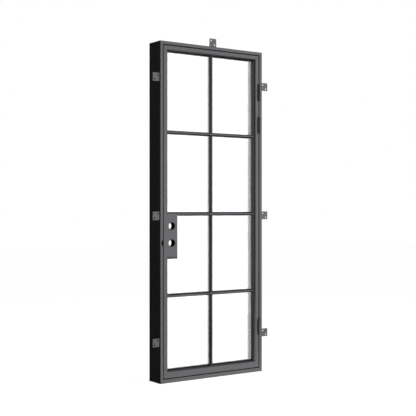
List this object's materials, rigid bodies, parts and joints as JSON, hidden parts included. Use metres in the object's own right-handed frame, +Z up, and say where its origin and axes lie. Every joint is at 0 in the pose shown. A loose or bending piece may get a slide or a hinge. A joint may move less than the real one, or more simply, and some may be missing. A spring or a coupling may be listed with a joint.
{
  "type": "steel and glass door",
  "caption": "Hinged steel door leaf with divided glass panes and a drilled lock box, hung on barrel hinges in a deep steel frame with wall anchor tabs.",
  "frame": {"origin": "middle of the sill's underside: mid width and mid depth of the frame, on the floor", "axes": "+Z up, +X to the right towards the hinges as seen from the front, -Y out of the front, which is the side the leaf opens to"},
  "size_m": [1.0314, 0.1679, 2.4994],
  "materials": {
    "painted_steel": "satin black paint",
    "glass": "clear sealed double glass",
    "seal": "matt black rubber",
    "pin_steel": "bright drawn steel"
  },
  "bodies": {
    "frame": {"jamb_left": "painted_steel", "jamb_right": "painted_steel", "head": "painted_steel", "sill": "painted_steel", "stop_left": "painted_steel", "stop_right": "painted_steel", "stop_bottom": "painted_steel", "stop_top": "painted_steel", "tab_top": "painted_steel", "tab_left_low": "painted_steel", "tab_right_low": "painted_steel", "tab_left_mid": "painted_steel", "tab_right_mid": "painted_steel", "tab_left_high": "painted_steel", "tab_right_high": "painted_steel", "hinge_1_frame_knuckle": "painted_steel", "hinge_2_frame_knuckle": "painted_steel", "hinge_3_frame_knuckle": "painted_steel", "seal_left": "seal", "seal_right": "seal", "seal_bottom": "seal", "seal_top": "seal", "hinge_1_pin": "pin_steel", "hinge_2_pin": "pin_steel", "hinge_3_pin": "pin_steel"},
    "leaf": {"stile_left": "painted_steel", "stile_right": "painted_steel", "rail_bottom": "painted_steel", "rail_top": "painted_steel", "lock_box": "painted_steel", "muntin_upright": "painted_steel", "muntin_high_left": "painted_steel", "muntin_high_right": "painted_steel", "muntin_mid_left": "painted_steel", "muntin_mid_right": "painted_steel", "muntin_low_left": "painted_steel", "muntin_low_right": "painted_steel", "hinge_1_leaf_knuckle": "painted_steel", "hinge_2_leaf_knuckle": "painted_steel", "hinge_3_leaf_knuckle": "painted_steel", "bead_1_left": "painted_steel", "bead_1_right": "painted_steel", "bead_2_left": "painted_steel", "bead_2_right": "painted_steel", "bead_3_left": "painted_steel", "bead_3_right": "painted_steel", "bead_4_left": "painted_steel", "bead_4_right": "painted_steel", "pane_1_left": "glass", "pane_1_right": "glass", "pane_2_left": "glass", "pane_2_right": "glass", "pane_3_left": "glass", "pane_3_right": "glass", "pane_4_left": "glass", "pane_4_right": "glass"}
  },
  "joints": [
    {"name": "leaf_swing", "type": "hinge", "parent": "frame", "child": "leaf", "pos_m": [0.4317, -0.0792, 1.2192], "axis": [0, 0, 1], "range_deg": [0, 110]}
  ]
}
